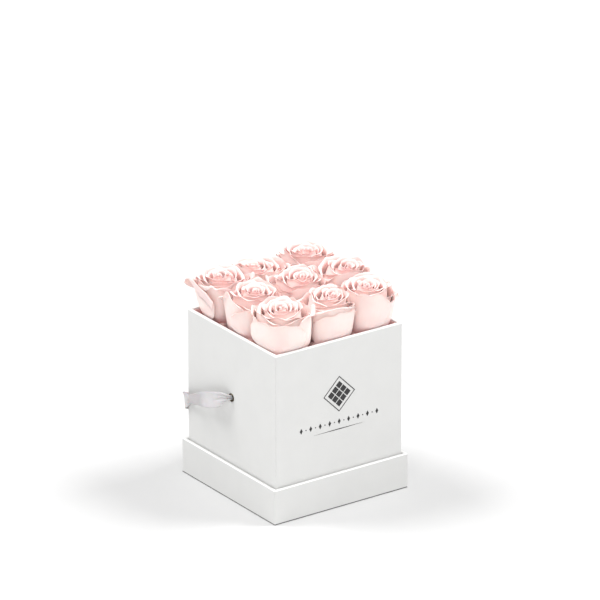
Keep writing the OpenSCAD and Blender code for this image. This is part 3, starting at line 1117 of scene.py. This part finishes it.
# The calyx's section from its foot up: radius and height.
CALYX_OUTLINE = ((0.3, 0.0), (3.1, 0.0), (3.7, 0.6), (4.9, 2.4), (5.6, 4.2), (5.9, 5.8), (6.6, 7.0))
CALYX_RIM_R = 7.4
CALYX_CORE_R = 0.3
CALYX_SEGMENTS = 40
SEPALS = 5
SEPAL_THICK = 0.45
STEM_SEGMENTS = 24
STEM_LEVELS = 40
STEM_NODES = 3


def sepal_grid(turn, droop, height):
    """A pointed leaf that spreads from the calyx's rim and droops, folded along its middle."""
    u = np.linspace(-1, 1, 9)[None, :]
    v = np.linspace(0, 1, 18)[:, None]
    half = 3.0 * np.sin(math.pi * np.clip(0.38 + 0.62 * v, 0, 1)) ** 0.8 + 0.05
    z = height - 0.5 - droop * v ** 2 + 0.7 * np.abs(u) * half / 3 - 0.25 * np.cos(9 * v)
    x, y = np.broadcast_arrays(5.5 + 9.3 * v, half * u)
    cos, sin = math.cos(turn), math.sin(turn)
    return np.stack([x * cos - y * sin, x * sin + y * cos, z], -1)


def make_calyx(row, column, material):
    """The swollen green cup and five pointed sepals that spread and droop from its top."""
    name = f"rose_{ROWS[row]}_{COLUMNS[column]}"
    low, high = node_box(f"{name}_calyx")
    centre = (low + high) / 2
    height = high[2] - low[2]
    rng = random.Random(7 * row + column)
    outline = [*CALYX_OUTLINE, (CALYX_RIM_R, height), (CALYX_CORE_R, height)]
    points = []
    for radius, z in outline:
        for k in range(CALYX_SEGMENTS):
            a = 2 * math.pi * k / CALYX_SEGMENTS
            r = radius * (1 + 0.04 * math.cos(SEPALS * a))
            points.append((r * math.cos(a), r * math.sin(a), z))
    faces = grid_faces(len(outline), CALYX_SEGMENTS, close_rows=True, close_columns=True)
    for k in range(SEPALS):
        turn = 2 * math.pi * k / SEPALS + rng.uniform(-0.15, 0.15)
        grid = sepal_grid(turn, rng.uniform(1.5, 4.0), height)
        sepal_points, sepal_faces = thin_shell(grid, np.full(grid.shape[:2], SEPAL_THICK))
        faces += [tuple(len(points) + i for i in face) for face in sepal_faces]
        points += list(sepal_points)
    p = np.asarray(points) + (centre[0], centre[1], low[2])
    piece = make_piece(f"{name}_sepals", p, faces, name, material)
    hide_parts(f"{name}_calyx")
    return piece


def make_stem(row, column, material):
    """A straight stem with faint nodes, cut square at its foot. It stays inside its CAD solid."""
    name = f"rose_{ROWS[row]}_{COLUMNS[column]}"
    low, high = node_box(f"{name}_stem")
    centre = (low + high) / 2
    radius = (high[0] - low[0]) / 2
    rng = random.Random(31 * row + column)
    swell = [rng.uniform(6, 34) for _ in range(STEM_NODES)]
    levels = np.linspace(0, high[2] - low[2], STEM_LEVELS)
    points = []
    for z in levels:
        bump = 0.12 * max(math.exp(-((z - s) / 1.6) ** 2) for s in swell)
        taper = 0.82 + 0.04 * z / levels[-1]
        for k in range(STEM_SEGMENTS):
            a = 2 * math.pi * k / STEM_SEGMENTS
            r = radius * (taper + bump * (0.6 + 0.4 * math.cos(a + z)) + 0.015 * math.cos(5 * a))
            points.append((r * math.cos(a), r * math.sin(a), z))
    faces = grid_faces(STEM_LEVELS, STEM_SEGMENTS, close_columns=True)
    faces.append(tuple(reversed(range(STEM_SEGMENTS))))
    faces.append(tuple(range(len(points) - STEM_SEGMENTS, len(points))))
    p = np.asarray(points) + (centre[0], centre[1], low[2])
    piece = make_piece(f"{name}_stalk", p, faces, name, material)
    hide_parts(f"{name}_stem")
    return piece


# Floor

FLOOR_HALF = 40
FLOOR_Z = -0.0001


def make_floor():
    """A wide plane, in metres, just below the lid."""
    mesh = bpy.data.meshes.new("floor")
    corners = [(-FLOOR_HALF, -FLOOR_HALF, 0), (FLOOR_HALF, -FLOOR_HALF, 0),
               (FLOOR_HALF, FLOOR_HALF, 0), (-FLOOR_HALF, FLOOR_HALF, 0)]
    mesh.from_pydata(corners, [], [(0, 1, 2, 3)])
    mesh.materials.append(floor_material())
    floor = bpy.data.objects.new("floor", mesh)
    floor.location = (0, 0, FLOOR_Z)
    bpy.context.scene.collection.objects.link(floor)


# The scene

make_camera()
make_studio()
finishes = {
    "wrap_paper": paper_material("wrap_paper", (0.69, 0.69, 0.68), 1.0),
    "lining_paper": paper_material("lining_paper", (0.72, 0.71, 0.69), 1.6),
    "greyboard": board_material(),
    "black_print": print_material(),
    "dark_metal": metal_material(),
    "satin_ribbon": ribbon_material(),
    "floral_foam": foam_material(),
    "petal": petal_material(),
    "sepal": leaf_material(),
    "stem": stem_material(),
}
for subpart in frame["record"]["subparts"]:
    mesh = nodes[subpart["node"]].data
    mesh.materials.clear()
    mesh.materials.append(finishes[subpart["material_slot"]])

eyelet_low, eyelet_high = node_box("left_eyelet")
# Painted shadow along the lid's foot; painted highlight on both skins' outer folds and on the box's rim and
# foot.
make_wrap("lid_side_wrap", "lid", finishes["wrap_paper"], foot=-1.0, rim=0.2, highlight_fade=0.1)
make_wrap("box_outer_wrap", "box", finishes["wrap_paper"], foot=0.6, rim=1.0, highlight_fade=0.8,
          hole_z=(eyelet_low[2] + eyelet_high[2]) / 2)
for side, sign in (("left", -1), ("right", 1)):
    make_eyelet(side, sign, finishes["dark_metal"])
    make_knot(side, finishes["satin_ribbon"])
ribbon, ribbon_length = make_ribbon(finishes["satin_ribbon"])

for row in range(len(ROWS)):
    for column in range(len(COLUMNS)):
        make_bloom(row, column, finishes["petal"])
        make_calyx(row, column, finishes["sepal"])
        make_stem(row, column, finishes["stem"])

make_floor()
